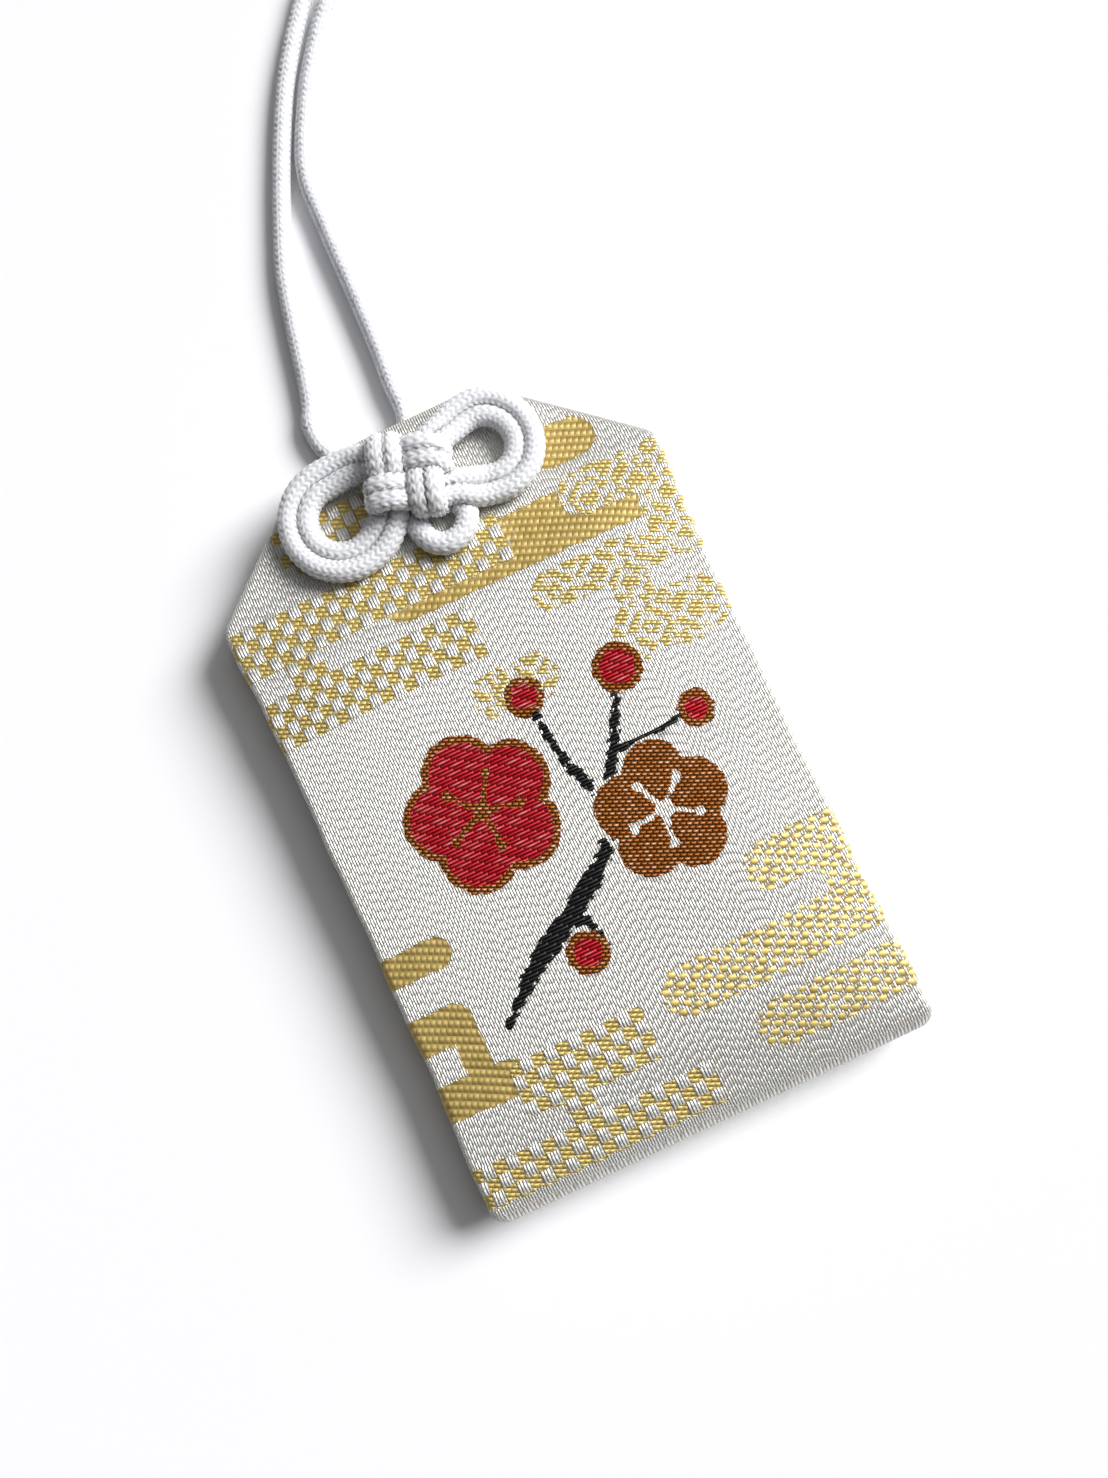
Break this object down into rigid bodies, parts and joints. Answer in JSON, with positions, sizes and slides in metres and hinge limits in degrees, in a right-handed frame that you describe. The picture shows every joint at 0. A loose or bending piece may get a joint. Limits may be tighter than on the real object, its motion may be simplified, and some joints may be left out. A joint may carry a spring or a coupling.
{
  "type": "omamori charm",
  "caption": "Flat padded brocade pouch with slanted shoulders, a braided cord tied in an ornamental knot on its front and passed through a hole near its top to make a hanging loop.",
  "frame": {"origin": "the charm lies on its back: middle of the pouch's outline, on the surface that its back rests on", "axes": "+X across the pouch's width, +Y up the pouch towards the loop, +Z out of its front"},
  "size_m": [0.0553, 0.1488, 0.0111],
  "materials": {
    "brocade": "ivory satin brocade with woven gold clouds and checks",
    "cord": "white braided cord, soft sheen",
    "thread": "matte ivory sewing thread",
    "wadding": "matte white cotton wadding",
    "card": "matte grey-brown card",
    "paper": "matte white paper",
    "cypress": "bare planed softwood"
  },
  "bodies": {
    "pouch": {"front_panel": "brocade", "back_panel": "brocade", "left_corner_fold": "brocade", "right_corner_fold": "brocade", "seam_thread": "thread", "stiffener_card": "card", "paper_wrapper": "paper", "charm_slip": "cypress", "wadding": "wadding", "left_cord_tail": "cord", "right_cord_tail": "cord"},
    "knot": {"knot": "cord"},
    "loop": {"hanging_loop": "cord"}
  },
  "joints": [
    {"name": "loop_swing", "type": "hinge", "parent": "pouch", "child": "loop", "pos_m": [0, 0.041, 0.00205], "axis": [1, 0, 0], "range_deg": [0, 105]},
    {"name": "knot_tilt", "type": "hinge", "parent": "pouch", "child": "knot", "pos_m": [0, 0.0364, 0.0053], "axis": [-1, 0, 0], "range_deg": [0, 25]}
  ]
}
